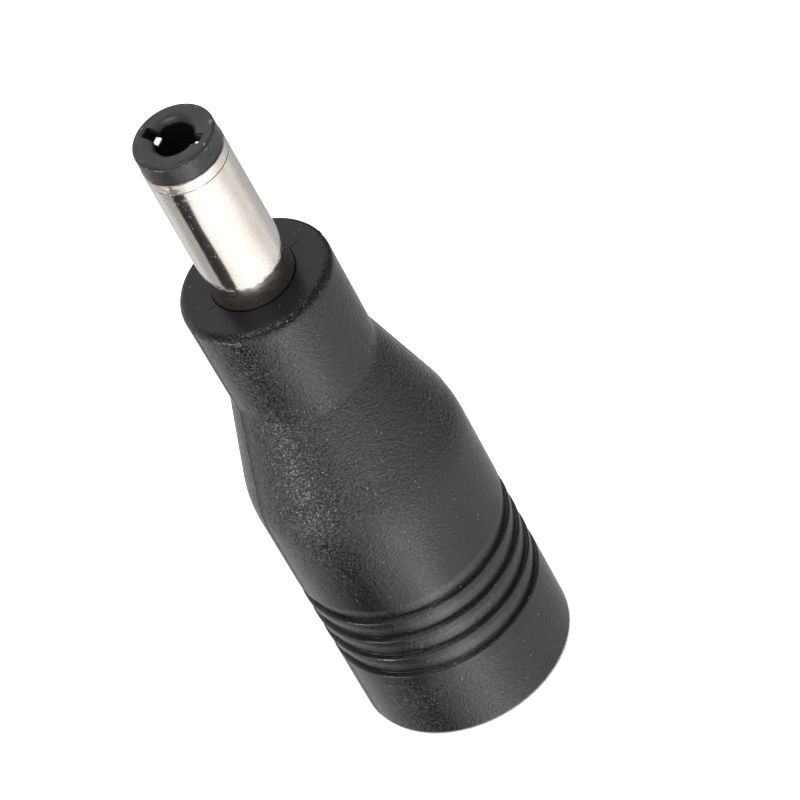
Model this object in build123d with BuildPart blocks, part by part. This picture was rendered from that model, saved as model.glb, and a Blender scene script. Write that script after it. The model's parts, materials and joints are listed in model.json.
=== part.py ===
"""In-line adapter from a coaxial socket to a coaxial DC power plug, in millimetres.

The adapter stands on its rear face, where the socket opens, and the plug points up along +Z. The origin
is the centre of the rear face. Everything is round about Z except the stamped contacts, the slots
that hold them and the two short leads, which lie in two upright planes at right angles.
"""

from build123d import *
from math import cos, radians, sin
import os

os.makedirs("parts", exist_ok=True)

# Outer moulding: a drafted rear body, a flare that narrows to the neck, and a nose
rear_radius = 6.95
shoulder_radius = 7.16
neck_radius = 4.94
nose_radius = 5.05
body_length = 19.5
flare_length = 8.45
nose_length = 8.15
shoulder_blend = 9.0
nose_edge_blend = 0.65
rear_edge_blend = 0.35

# Grip grooves round the rear body, counted down from the uppermost
groove_count = 4
groove_pitch = 1.75
groove_top_drop = 7.14
groove_depth = 0.28
groove_flank = 1.06
groove_floor = 0.14
groove_lip_chamfer = 0.1

# Plug sleeve, turned from brass
barrel_radius = 2.75
barrel_wall = 0.45
barrel_reach = 11.75
barrel_edge_chamfer = 0.08
seam_drop = 0.77
seam_width = 0.07
seam_depth = 0.04
undercut_depth = 0.25
undercut_length = 1.2
flange_width = 0.85
flange_thickness = 0.8
hub_wall = 0.55
hub_length = 0.6
moulding_gap = 0.13
moulding_gap_depth = 0.2

# Plug insulator: a liner inside the sleeve with a head that covers the sleeve's front edge
liner_clearance = 0.03
head_setback = 0.03
head_length = 1.65
head_edge_blend = 0.35
pin_bore_radius = 1.325
pin_bore_depth = 11.2
lead_in_width = 0.425
lead_in_depth = 0.4
slot_web = 0.22

# Fork contact, a flat stamping whose arms lie in the insulator's slots
fork_angle = -59.0
fork_thickness = 0.6
fork_arm_setback = 0.02
fork_side_clearance = 0.1
fork_tip_drop = 0.75
fork_grip_gap = 0.13
fork_grip_length = 2.4
fork_tip_width = 0.45
fork_tip_blend = 0.15
yoke_drop = 0.3
yoke_length = 1.6
stem_width = 1.6
tail_length = 4.0

# Terminal ring and washer behind the plug's flange
ring_thickness = 0.4
ring_width = 0.63
ring_clearance = 0.02
ring_tab_width = 2.0
ring_tab_length = 5.5
washer_thickness = 0.5

# Socket for a sleeve plug of 7.4 mm with a 5.0 mm bore and a thin centre pin
mating_sleeve_radius = 3.7
mating_bore_radius = 2.5
housing_recess = 0.2
housing_wall = 1.15
housing_length = 14.8
housing_lock_depth = 0.35
housing_lock_width = 1.2
housing_lock_pitch = 2.4
mouth_clearance = 0.25
mouth_length = 1.5
mouth_chamfer = 0.3
contact_clearance = 0.03
sheet_thickness = 0.3
contact_setback = 0.25
finger_clearance = 0.04
finger_lean = 0.28
finger_entry_length = 1.5
finger_slope_length = 5.6
finger_slit_count = 4
finger_slit_width = 0.7
post_clearance = 0.025
post_contact_wall = 0.375
post_slit_count = 3
post_slit_width = 0.5
post_slit_length = 4.6
post_recess = 0.4
post_cap_length = 0.6
post_cap_chamfer = 0.35
post_hole_radius = 0.55
post_hole_depth = 10.0
disc_thickness = 1.5
sleeve_tag_width = 2.4
post_tag_width = 1.6
post_tag_thickness = 0.3
tag_length = 3.2
tag_clearance = 0.05

# Leads, solder and the inner moulding round them
conductor_radius = 0.35
insulation_radius = 0.8
strip_length = 2.4
bend_rise = 1.0
bend_radius = 3.0
insulation_setback = 1.0
solder_gap = 0.05
solder_wall = 0.25
solder_length = 2.0
core_skin = 0.29

# Heights above the rear face
shoulder_height = body_length
neck_height = shoulder_height + flare_length
nose_height = neck_height + nose_length
barrel_front = nose_height + barrel_reach
tip_height = barrel_front + head_length
flange_top = nose_height - undercut_length
flange_bottom = flange_top - flange_thickness
hub_bottom = flange_bottom - hub_length
washer_bottom = hub_bottom - washer_thickness
ring_bottom = flange_bottom - ring_thickness
bore_floor = tip_height - pin_bore_depth
yoke_top = bore_floor - yoke_drop
yoke_bottom = yoke_top - yoke_length
tail_bottom = washer_bottom - tail_length
tab_bottom = ring_bottom - ring_tab_length
housing_bottom = housing_recess
housing_top = housing_bottom + housing_length
mouth_top = housing_bottom + mouth_length
disc_bottom = housing_top - disc_thickness
contact_bottom = mouth_top + contact_setback
post_bottom = mouth_top + post_recess
post_contact_bottom = post_bottom + post_cap_length
tag_top = housing_top + tag_length

# Radii and widths that follow from those above
barrel_bore = barrel_radius - barrel_wall
undercut_radius = barrel_radius - undercut_depth
flange_radius = barrel_radius + flange_width
hub_radius = barrel_bore + hub_wall
ring_hole_radius = hub_radius + ring_clearance
ring_radius = ring_hole_radius + ring_width
core_top_radius = ring_radius + core_skin
liner_radius = barrel_bore - liner_clearance
head_radius = barrel_radius - head_setback
lead_in_radius = pin_bore_radius + lead_in_width
slot_reach = liner_radius - slot_web
slot_width = fork_thickness + 2 * fork_side_clearance
stem_slot = stem_width + 2 * fork_side_clearance
fork_arm_outer = slot_reach - fork_side_clearance
fork_arm_inner = pin_bore_radius + fork_arm_setback
finger_waist_radius = mating_sleeve_radius + finger_clearance
sleeve_inner = finger_waist_radius + finger_lean
sleeve_radius = sleeve_inner + sheet_thickness
seat_radius = sleeve_radius + contact_clearance
housing_radius = seat_radius + housing_wall
mouth_radius = mating_sleeve_radius + mouth_clearance
post_contact_radius = mating_bore_radius - post_clearance
post_radius = post_contact_radius - post_contact_wall
solder_radius = conductor_radius + solder_wall


def upright_plane(angle):
    """The plane through Z whose x direction is turned by this many degrees from +X."""
    across = (cos(radians(angle)), sin(radians(angle)), 0)
    normal = (across[1], -across[0], 0)
    return Plane(origin=(0, 0, 0), x_dir=across, z_dir=normal)


def level_plane(height):
    """A horizontal plane whose x direction is that of the leads."""
    return Plane(origin=(0, 0, height), x_dir=lead_plane.x_dir, z_dir=(0, 0, 1))


def body_radius(height):
    """The drafted radius of the rear body at a height."""
    return rear_radius + (shoulder_radius - rear_radius) * height / shoulder_height


fork_plane = upright_plane(fork_angle)
lead_plane = upright_plane(fork_angle + 90)

# Socket housing: the outer shape, which the overmoulding grips by its two lock grooves
with BuildPart() as housing_envelope:
    with BuildSketch(Plane.XY.offset(housing_bottom)):
        Circle(housing_radius)
    extrude(amount=housing_length)
    lock_middle = housing_bottom + housing_length / 2
    for lock_height in (lock_middle, lock_middle + housing_lock_pitch):
        with BuildSketch(Plane.XY.offset(lock_height)):
            Circle(housing_radius)
            Circle(housing_radius - housing_lock_depth, mode=Mode.SUBTRACT)
        extrude(amount=housing_lock_width, mode=Mode.SUBTRACT)

with BuildPart() as socket_housing:
    add(housing_envelope.part)
    with BuildSketch(Plane.XY.offset(mouth_top)):
        Circle(seat_radius)
    extrude(amount=housing_length, mode=Mode.SUBTRACT)
    with BuildSketch(Plane.XY.offset(housing_bottom)):
        Circle(mouth_radius)
    extrude(amount=mouth_length, mode=Mode.SUBTRACT)
    mouth_edge = socket_housing.edges().group_by(Axis.Z)[0].sort_by(SortBy.RADIUS)[0]
    chamfer(mouth_edge, mouth_chamfer)

# Outer contact: a collar in the housing, then fingers that lean in to the plug and flare at the mouth
with BuildPart() as socket_outer_contact:
    finger_root = contact_bottom + finger_entry_length + finger_slope_length
    finger_waist = contact_bottom + finger_entry_length
    with BuildSketch(Plane.XZ):
        with BuildLine():
            Polyline(
                (sleeve_inner, disc_bottom),
                (sleeve_inner, finger_root),
                (finger_waist_radius, finger_waist),
                (sleeve_inner, contact_bottom),
                (sleeve_radius, contact_bottom),
                (finger_waist_radius + sheet_thickness, finger_waist),
                (sleeve_radius, finger_root),
                (sleeve_radius, disc_bottom),
                close=True,
            )
        make_face()
    revolve(axis=Axis.Z)
    with BuildSketch(level_plane(contact_bottom)):
        with PolarLocations(0, finger_slit_count, start_angle=180 / finger_slit_count):
            Rectangle(2 * seat_radius, finger_slit_width, align=(Align.MIN, Align.CENTER))
    extrude(amount=finger_entry_length + finger_slope_length, mode=Mode.SUBTRACT)
    with BuildSketch(level_plane(disc_bottom)):
        Circle(sleeve_radius)
        Circle(sleeve_inner, mode=Mode.SUBTRACT)
        Rectangle(2 * seat_radius, sleeve_tag_width, align=(Align.MIN, Align.CENTER), mode=Mode.INTERSECT)
    extrude(amount=disc_thickness + tag_length)

# Inner contact: a slit tube on the post, with its tag opposite that of the outer contact
with BuildPart() as socket_inner_contact:
    with BuildSketch(Plane.XY.offset(post_contact_bottom)):
        Circle(post_contact_radius)
        Circle(post_radius, mode=Mode.SUBTRACT)
    extrude(amount=disc_bottom - post_contact_bottom)
    with BuildSketch(level_plane(post_contact_bottom)):
        with PolarLocations(0, post_slit_count):
            Rectangle(2 * post_radius, post_slit_width, align=(Align.MIN, Align.CENTER))
    extrude(amount=post_slit_length, mode=Mode.SUBTRACT)
    with BuildSketch(level_plane(disc_bottom)):
        with Locations((-post_radius, 0)):
            Rectangle(post_tag_thickness, post_tag_width, align=(Align.MAX, Align.CENTER))
    extrude(amount=disc_thickness + tag_length)

# Core: the insulating post, its cap over the contact's front edge and the disc that closes the housing
with BuildPart() as socket_core:
    with BuildSketch(Plane.XY.offset(post_bottom)):
        Circle(post_contact_radius)
    extrude(amount=post_cap_length)
    chamfer(socket_core.edges().group_by(Axis.Z)[0], post_cap_chamfer)
    with BuildSketch(Plane.XY.offset(post_contact_bottom)):
        Circle(post_radius)
    extrude(amount=disc_bottom - post_contact_bottom)
    with BuildSketch(Plane.XY.offset(disc_bottom)):
        Circle(sleeve_radius)
    extrude(amount=disc_thickness)
    with BuildSketch(level_plane(disc_bottom)):
        Circle(seat_radius)
        Circle(sleeve_inner - tag_clearance, mode=Mode.SUBTRACT)
        sleeve_notch = sleeve_tag_width + 2 * tag_clearance
        Rectangle(2 * seat_radius, sleeve_notch, align=(Align.MIN, Align.CENTER), mode=Mode.INTERSECT)
    extrude(amount=disc_thickness, mode=Mode.SUBTRACT)
    with BuildSketch(level_plane(disc_bottom)):
        with Locations((-post_radius + tag_clearance, 0)):
            post_slot = post_tag_thickness + 2 * tag_clearance
            Rectangle(post_slot, post_tag_width + 2 * tag_clearance, align=(Align.MAX, Align.CENTER))
    extrude(amount=disc_thickness, mode=Mode.SUBTRACT)
    with BuildSketch(Plane.XY.offset(post_bottom)):
        Circle(post_hole_radius)
    extrude(amount=post_hole_depth, mode=Mode.SUBTRACT)

# Plug sleeve: flange and hub inside the moulding, a moulded-in undercut, and the bare sleeve above
with BuildPart() as plug_barrel:
    seam_top = barrel_front - seam_drop
    with BuildSketch(Plane.XZ) as barrel_section:
        with BuildLine():
            Polyline(
                (barrel_bore, hub_bottom),
                (hub_radius, hub_bottom),
                (hub_radius, flange_bottom),
                (flange_radius, flange_bottom),
                (flange_radius, flange_top),
                (undercut_radius, flange_top),
                (undercut_radius, nose_height),
                (barrel_radius, nose_height),
                (barrel_radius, seam_top - seam_width),
                (barrel_radius - seam_depth, seam_top - seam_width / 2),
                (barrel_radius, seam_top),
                (barrel_radius, barrel_front),
                (barrel_bore, barrel_front),
                close=True,
            )
        make_face()
        front_edge = barrel_section.vertices().group_by(Axis.Y)[-1].sort_by(Axis.X)[-1]
        chamfer(front_edge, barrel_edge_chamfer)
    revolve(axis=Axis.Z)

# Plug insulator: the liner, its head, the pin bore with a lead-in, and the slots for the fork
with BuildPart() as plug_insulator:
    with BuildSketch(Plane.XZ) as liner_section:
        with BuildLine():
            Polyline(
                (0, hub_bottom),
                (liner_radius, hub_bottom),
                (liner_radius, barrel_front),
                (head_radius, barrel_front),
                (head_radius, tip_height),
                (lead_in_radius, tip_height),
                (pin_bore_radius, tip_height - lead_in_depth),
                (pin_bore_radius, bore_floor),
                (0, bore_floor),
                close=True,
            )
        make_face()
        head_edge = liner_section.vertices().group_by(Axis.Y)[-1].sort_by(Axis.X)[-1]
        fillet(head_edge, head_edge_blend)
    revolve(axis=Axis.Z)
    with BuildSketch(fork_plane):
        with Locations((0, yoke_bottom)):
            Rectangle(2 * slot_reach, tip_height - yoke_bottom, align=(Align.CENTER, Align.MIN))
        with Locations((0, hub_bottom)):
            Rectangle(stem_slot, yoke_bottom - hub_bottom, align=(Align.CENTER, Align.MIN))
    extrude(amount=slot_width / 2, both=True, mode=Mode.SUBTRACT)

# Fork contact: stem and yoke, with two arms whose tips lean inwards to grip the mating pin
with BuildPart() as fork_contact:
    arm_tip = tip_height - fork_tip_drop
    grip_radius = pin_bore_radius - fork_grip_gap
    grip_bottom = arm_tip - fork_grip_length
    with BuildSketch(fork_plane) as fork_outline:
        with BuildLine():
            Polyline(
                (0, tail_bottom),
                (stem_width / 2, tail_bottom),
                (stem_width / 2, yoke_bottom),
                (fork_arm_outer, yoke_bottom),
                (fork_arm_outer, grip_bottom),
                (grip_radius + fork_tip_width, arm_tip),
                (grip_radius, arm_tip),
                (fork_arm_inner, grip_bottom),
                (fork_arm_inner, yoke_top),
                (0, yoke_top),
                close=True,
            )
        make_face()
        arm_corners = fork_outline.vertices().group_by(Axis.Y)[-1]
        fillet(arm_corners, fork_tip_blend)
        mirror(about=Plane.YZ)
    extrude(amount=fork_thickness / 2, both=True)

# Terminal ring of the plug sleeve, with a tab bent back along the leads' plane
with BuildPart() as barrel_terminal:
    with BuildSketch(Plane.XY.offset(ring_bottom)):
        Circle(ring_radius)
        Circle(ring_hole_radius, mode=Mode.SUBTRACT)
    extrude(amount=ring_thickness)
    with BuildSketch(level_plane(tab_bottom)):
        with Locations((ring_radius, 0)):
            Rectangle(ring_thickness, ring_tab_width, align=(Align.MAX, Align.CENTER))
        Circle(ring_radius, mode=Mode.INTERSECT)
    extrude(amount=ring_tab_length + ring_thickness)

# Washer that keeps the fork's stem off the plug sleeve
with BuildPart() as rear_washer:
    with BuildSketch(level_plane(washer_bottom)):
        Circle(hub_radius)
        Rectangle(slot_width, stem_slot, mode=Mode.SUBTRACT)
    extrude(amount=washer_thickness)

# Leads: each conductor lies along a tag, slants through the flare and lies along a plug terminal
negative_low = sleeve_inner - solder_gap - conductor_radius
negative_high = ring_radius - ring_thickness - solder_gap - conductor_radius
positive_low = -post_radius - post_tag_thickness - solder_gap - conductor_radius
positive_high = -fork_thickness / 2 - solder_gap - conductor_radius


def lead(low, high, terminal_bottom):
    """The conductor and insulation of a lead between a tag and a plug terminal.

    The lead is at one distance from Z beside the tag and at another beside the terminal.
    """
    corners = [
        lead_plane.from_local_coords(corner)
        for corner in (
            (low, tag_top - strip_length, 0),
            (low, tag_top + bend_rise, 0),
            (high, terminal_bottom - bend_rise, 0),
            (high, terminal_bottom + strip_length, 0),
        )
    ]
    with BuildPart() as conductor:
        with BuildLine() as route:
            FilletPolyline(*corners, radius=bend_radius)
        with BuildSketch(Plane(origin=corners[0], z_dir=(0, 0, 1))):
            Circle(conductor_radius)
        sweep(path=route.wire())
    slant = Vector(*corners[2]) - Vector(*corners[1])
    foot = Vector(*corners[1]) + slant.normalized() * insulation_setback
    with BuildPart() as insulation:
        with BuildSketch(Plane(origin=foot, z_dir=slant)):
            Circle(insulation_radius)
            Circle(conductor_radius, mode=Mode.SUBTRACT)
        extrude(amount=slant.length - 2 * insulation_setback)
    return conductor, insulation


negative_conductor, negative_insulation = lead(negative_low, negative_high, tab_bottom)
positive_conductor, positive_insulation = lead(positive_low, positive_high, tail_bottom)

# Solder: one bead round each bare end, as far as the metal that it lies on
with BuildPart() as solder_joints:
    tag_bead = tag_top - solder_length
    for distance, bead_bottom in (
        (negative_low, tag_bead),
        (positive_low, tag_bead),
        (negative_high, tab_bottom),
        (positive_high, tail_bottom),
    ):
        with BuildSketch(level_plane(bead_bottom)):
            with Locations((distance, 0)):
                Circle(solder_radius)
        extrude(amount=solder_length)
    for held in (negative_conductor, positive_conductor, socket_outer_contact):
        add(held.part, mode=Mode.SUBTRACT)
    for held in (socket_inner_contact, barrel_terminal, fork_contact):
        add(held.part, mode=Mode.SUBTRACT)

# Inner moulding: joins socket and plug before the outer moulding is made, and fills every gap between
with BuildPart() as core_envelope:
    with BuildSketch(Plane.XZ):
        with BuildLine():
            Polyline(
                (0, housing_top),
                (housing_radius, housing_top),
                (housing_radius, shoulder_height),
                (core_top_radius, neck_height),
                (core_top_radius, ring_bottom),
                (0, ring_bottom),
                close=True,
            )
        make_face()
    revolve(axis=Axis.Z)

with BuildPart() as inner_moulding:
    add(core_envelope.part)
    with BuildSketch(Plane.XY.offset(hub_bottom)):
        Circle(hub_radius)
    extrude(amount=ring_bottom - hub_bottom, mode=Mode.SUBTRACT)
    for held in (rear_washer, fork_contact, barrel_terminal, solder_joints):
        add(held.part, mode=Mode.SUBTRACT)
    for held in (negative_conductor, negative_insulation, positive_conductor, positive_insulation):
        add(held.part, mode=Mode.SUBTRACT)
    for held in (socket_outer_contact, socket_inner_contact):
        add(held.part, mode=Mode.SUBTRACT)

# Outer moulding
with BuildPart() as outer_moulding:
    with BuildSketch(Plane.XZ) as moulding_section:
        groove_points = []
        for index in reversed(range(groove_count)):
            groove_top = shoulder_height - groove_top_drop - index * groove_pitch
            groove_bottom = groove_top - groove_flank - groove_floor
            groove_points += [
                (body_radius(groove_bottom), groove_bottom),
                (body_radius(groove_bottom) - groove_depth, groove_bottom),
                (body_radius(groove_top) - groove_depth, groove_top - groove_flank),
                (body_radius(groove_top), groove_top),
            ]
        with BuildLine():
            Polyline(
                (0, 0),
                (rear_radius, 0),
                *groove_points,
                (shoulder_radius, shoulder_height),
                (neck_radius, neck_height),
                (nose_radius, nose_height),
                (0, nose_height),
                close=True,
            )
        make_face()
        for lip in groove_points[::4]:
            chamfer(moulding_section.vertices().sort_by_distance(lip)[0], groove_lip_chamfer)
        for corner, blend in (
            ((shoulder_radius, shoulder_height), shoulder_blend),
            ((nose_radius, nose_height), nose_edge_blend),
            ((rear_radius, 0), rear_edge_blend),
        ):
            fillet(moulding_section.vertices().sort_by_distance(corner)[0], blend)
    revolve(axis=Axis.Z)
    for held in (housing_envelope, core_envelope):
        add(held.part, mode=Mode.SUBTRACT)
    with BuildSketch(Plane.XY):
        Circle(housing_radius)
    extrude(amount=housing_recess, mode=Mode.SUBTRACT)
    with BuildSketch(Plane.XZ):
        with BuildLine():
            gap_bottom = nose_height - moulding_gap_depth
            Polyline(
                (0, ring_bottom),
                (ring_radius, ring_bottom),
                (ring_radius, flange_bottom),
                (flange_radius, flange_bottom),
                (flange_radius, flange_top),
                (undercut_radius, flange_top),
                (undercut_radius, gap_bottom),
                (barrel_radius + moulding_gap, gap_bottom),
                (barrel_radius + moulding_gap, nose_height),
                (0, nose_height),
                close=True,
            )
        make_face()
    revolve(axis=Axis.Z, mode=Mode.SUBTRACT)

nodes = {
    "outer_moulding": outer_moulding,
    "inner_moulding": inner_moulding,
    "plug_barrel": plug_barrel,
    "plug_insulator": plug_insulator,
    "fork_contact": fork_contact,
    "barrel_terminal": barrel_terminal,
    "rear_washer": rear_washer,
    "negative_conductor": negative_conductor,
    "negative_insulation": negative_insulation,
    "positive_conductor": positive_conductor,
    "positive_insulation": positive_insulation,
    "solder_joints": solder_joints,
    "socket_housing": socket_housing,
    "socket_outer_contact": socket_outer_contact,
    "socket_inner_contact": socket_inner_contact,
    "socket_core": socket_core,
}
for name, piece in nodes.items():
    piece.part.label = name
    export_step(piece.part, f"parts/{name}.step")
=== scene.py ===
# %% [markdown]
# # A moulded DC power adapter
# The adapter is a black moulding with a plated plug on its narrow end and a socket in its wide end.
# Its solids are already made and placed. Here every piece that can be seen gets a smooth surface of
# its own and a finish, and the last cells set up the floor, the light and the camera.
# A turned or moulded round part could be made with Blender's Screw modifier, but here each surface is
# worked out with numpy, so that a mould line or a keyhole can change the radius as it goes round.

import json
from math import asin, cos, pi, radians, sin

import bmesh
import bpy
import numpy as np
from mathutils import Matrix, Vector


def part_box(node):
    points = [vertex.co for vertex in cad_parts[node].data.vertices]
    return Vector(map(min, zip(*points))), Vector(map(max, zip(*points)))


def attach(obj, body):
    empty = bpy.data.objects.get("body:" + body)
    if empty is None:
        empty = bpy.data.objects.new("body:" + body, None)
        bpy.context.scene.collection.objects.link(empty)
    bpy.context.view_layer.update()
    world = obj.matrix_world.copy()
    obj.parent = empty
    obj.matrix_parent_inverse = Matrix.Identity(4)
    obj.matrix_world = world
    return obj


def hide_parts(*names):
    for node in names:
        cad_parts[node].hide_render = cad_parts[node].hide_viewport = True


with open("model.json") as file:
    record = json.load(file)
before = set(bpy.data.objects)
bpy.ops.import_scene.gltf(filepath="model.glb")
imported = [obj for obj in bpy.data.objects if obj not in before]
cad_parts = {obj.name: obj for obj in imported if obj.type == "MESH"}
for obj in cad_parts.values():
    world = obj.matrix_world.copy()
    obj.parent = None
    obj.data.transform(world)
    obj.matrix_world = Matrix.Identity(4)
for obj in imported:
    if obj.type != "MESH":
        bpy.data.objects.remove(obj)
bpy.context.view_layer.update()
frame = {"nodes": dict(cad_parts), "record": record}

# %% [markdown]
# ## Sizes
# The solids say how high and how wide each piece is, and the record's mounts say what fits what.
# Reading both keeps the new surfaces on the solids if a size changes. Lengths are in millimetres here,
# because the whole part is 50 mm long, and become metres when a mesh is filled.

# %% Sizes taken from the solids
MM = 0.001
# Heights and radii in millimetres that differ by less than this count as the same.
CLOSE = 0.01


def reach(node):
    """The lowest height, the highest height and the largest half width of a solid, in millimetres."""
    low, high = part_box(node)
    return low.z / MM, high.z / MM, max(high.x, high.y, -low.x, -low.y) / MM


mounts = {mount["name"]: mount["dims"] for mount in frame["record"]["mounts"]}
rear, nose_height, _ = reach("outer_moulding")
hub_bottom, barrel_front, flange_radius = reach("plug_barrel")
_, tip_height, head_radius = reach("plug_insulator")
tail_bottom, arm_tip, _ = reach("fork_contact")
_, _, hub_radius = reach("rear_washer")
_, flange_bottom, _ = reach("barrel_terminal")
ring_thickness = 0.4
ring_bottom = flange_bottom - ring_thickness
housing_bottom, housing_top, housing_radius = reach("socket_housing")
contact_bottom, tag_top, spring_radius = reach("socket_outer_contact")
post_contact_bottom, _, post_contact_radius = reach("socket_inner_contact")
post_bottom, _, _ = reach("socket_core")
barrel_radius = mounts["plug_sleeve"]["r_mm"]
pin_bore_radius = mounts["plug_pin_bore"]["r_mm"]
mouth_radius = mounts["socket_mouth"]["r_mm"]
centre_hole_radius = mounts["socket_centre_hole"]["r_mm"]
print("heights of nose, sleeve and tip:", [round(v, 2) for v in (nose_height, barrel_front, tip_height)])

# %% [markdown]
# ## From an outline to a mesh
# Every round piece starts as a section: the outline of one side of a cut through its axis. Corners on
# real parts are never quite sharp, and the small rounding is what catches the light, so each corner
# has its own blend. A Bevel modifier could round them, but it can't give each corner its own size.


# %% Sections with rounded corners
def rounded(corners, steps=5, hold=0.1):
    """The points of a closed section, from corners given as (radius, height, blend).

    A blend is an arc that touches both sides of its corner. Its centre lies on the line that halves
    the corner, at blend / sin(half the corner's angle). One more point on each side, half a blend but
    at most `hold` away, keeps the shading of a flat wall flat. A blend of 0 leaves the corner sharp.
    """
    corner = np.array(corners, float)
    here, blend = corner[:, :2], corner[:, 2:]
    back = np.roll(here, 1, axis=0) - here
    ahead = np.roll(here, -1, axis=0) - here
    back /= np.linalg.norm(back, axis=1, keepdims=True)
    ahead /= np.linalg.norm(ahead, axis=1, keepdims=True)
    half = np.arccos(np.clip((back * ahead).sum(axis=1, keepdims=True), -1, 1)) / 2
    halving = (back + ahead) / np.linalg.norm(back + ahead, axis=1, keepdims=True)
    centre = here + halving * blend / np.sin(half)
    start = here + back * blend / np.tan(half) - centre
    end = here + ahead * blend / np.tan(half) - centre
    turn = (pi - 2 * half)[:, :, None]
    share = np.linspace(0, 1, steps)[None, :, None]
    arc = (np.sin((1 - share) * turn) * start[:, None] + np.sin(share * turn) * end[:, None]) / np.sin(turn)
    before = start + back * np.minimum(blend / 2, hold)
    after = end + ahead * np.minimum(blend / 2, hold)
    points = centre[:, None] + np.concatenate([before[:, None], arc, after[:, None]], axis=1)
    points = points.reshape(-1, 2)
    moved = np.linalg.norm(points - np.roll(points, 1, axis=0), axis=1) > 1e-6
    return points[moved]


def divided(points, longest, closed=True):
    """The same outline with more points, evenly spaced on each run that is longer than `longest`."""
    step = np.roll(points, -1, axis=0) - points
    step = step if closed else step * (np.arange(len(points)) < len(points) - 1)[:, None]
    count = np.maximum(np.ceil(np.linalg.norm(step, axis=1) / longest), 1).astype(int)
    index = np.repeat(np.arange(len(points)), count)
    place = np.arange(count.sum()) - (np.cumsum(count) - count)[index]
    return points[index] + (place / count[index])[:, None] * step[index]


def angles_round(count, crowd=0.0, start=0.0):
    """Angles round the axis that crowd together on both sides of one upright plane.

    The angle is the even share of a turn, less crowd / 2 times the sine of twice that share.
    """
    share = 2 * pi * np.arange(count) / count
    return share - crowd / 2 * np.sin(2 * share) + start


square = [(1, 0, 0.1), (2, 0, 0.1), (2, 1, 0.1), (1, 1, 0.1)]
print("a square with blends has", len(rounded(square)), "points")

# %% [markdown]
# ## From a grid to an object
# A grid of points has one row for each point of the section and one column for each angle. Its faces
# are the same four neighbours everywhere, so they come from shifted copies of one index array.
# Points that fall together, as on the axis, are merged, which closes the poles.


# %% Grids become pieces
def grid_faces(rows, columns, close_rows=True):
    """The four corner numbers of every face of a grid: a point, the next in its row, and the two above them.

    The last column joins the first one, and so does the last row where the rows are closed.
    """
    index = np.arange(rows * columns).reshape(rows, columns)
    right = np.roll(index, -1, axis=1)
    faces = np.stack([index, right, np.roll(right, -1, axis=0), np.roll(index, -1, axis=0)], axis=-1)
    return faces if close_rows else faces[:-1]


def mesh_of(name, points, faces):
    """A smooth-shaded mesh from points in millimetres and an array of faces with four corners each."""
    corners = np.ascontiguousarray(faces.reshape(-1, 4), dtype=np.int32)
    mesh = bpy.data.meshes.new(name)
    mesh.vertices.add(points.size // 3)
    mesh.vertices.foreach_set("co", (points.reshape(-1) * MM).astype(np.float32))
    mesh.loops.add(corners.size)
    mesh.loops.foreach_set("vertex_index", corners.reshape(-1))
    mesh.polygons.add(len(corners))
    mesh.polygons.foreach_set("loop_start", np.arange(len(corners), dtype=np.int32) * 4)
    mesh.update(calc_edges=True)
    mesh.polygons.foreach_set("use_smooth", np.ones(len(corners), bool))
    return mesh


def sheet_of(name, points, faces):
    """A mesh of some of a grid's faces, without the points that none of them uses."""
    used, corners = np.unique(faces, return_inverse=True)
    return mesh_of(name, points.reshape(-1, 3)[used], corners.reshape(-1, 4))


def mark(mesh, name, values):
    """Stores one number for each vertex, which a material can read as an attribute."""
    layer = mesh.attributes.new(name, "FLOAT", "POINT")
    layer.data.foreach_set("value", np.ascontiguousarray(values, dtype=np.float32).reshape(-1))


def merged(mesh, distance=0.0005):
    """Joins points that lie within `distance` millimetres, and drops faces that this leaves without area."""
    work = bmesh.new()
    work.from_mesh(mesh)
    bmesh.ops.remove_doubles(work, verts=work.verts, dist=distance * MM)
    work.to_mesh(mesh)
    work.free()
    return mesh


def linked(name, data):
    """A new object for this data, put into the scene."""
    made = bpy.data.objects.new(name, data)
    bpy.context.scene.collection.objects.link(made)
    return made


def piece(name, mesh, slot, *nodes):
    """An object for a finished mesh, which rides on the body and replaces solids. The slot is not used."""
    made = linked(name, mesh)
    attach(made, "root")
    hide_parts(*nodes)
    print(name, len(mesh.polygons), "faces, replaces", ", ".join(nodes))
    return made


def round_points(radius, angle, height):
    """The points of a grid round the axis: x and y are the radius times the angle's cosine and sine."""
    return np.stack(np.broadcast_arrays(radius * np.cos(angle), radius * np.sin(angle), height), axis=-1)


def turned(section, angles):
    """A section carried round the axis: each of its points goes round at its own radius and height."""
    return round_points(section[:, :1], angles, section[:, 1:])


# %% [markdown]
# ## The outer moulding
# Soft black PVC is shot round the finished inside in a mould with two halves. The halves meet in one
# upright plane and leave a fine raised line, and the two sides never match perfectly. The section
# below has the drafted rear, four grip grooves, the flare, the neck and the nose with its small gap
# round the sleeve, and inside it the seats of the pieces that it was moulded over.

# %% Section of the moulding
rear_radius = 6.95
shoulder_radius = 7.16
neck_radius = 4.94
nose_radius = 5.05
shoulder_height = 19.5
neck_height = 27.95
shoulder_blend = 9.0
neck_blend = 0.6
nose_blend = 0.65
rear_blend = 0.35
groove_count = 4
groove_pitch = 1.75
groove_drop = 7.14
groove_depth = 0.24
groove_flank = 1.06
groove_floor = 0.14
seat_radius = spring_radius + 0.03
lock_radius = housing_radius - 0.35
lock_width = 1.2
core_radius = 3.79
ring_radius = 3.5
undercut_radius = 2.5
gap_radius = barrel_radius + 0.05
gap_bottom = nose_height - 0.2
flange_top = flange_bottom + 0.8


def body_radius(height):
    """The drafted radius of the rear body at a height."""
    return rear_radius + (shoulder_radius - rear_radius) * height / shoulder_height


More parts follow.
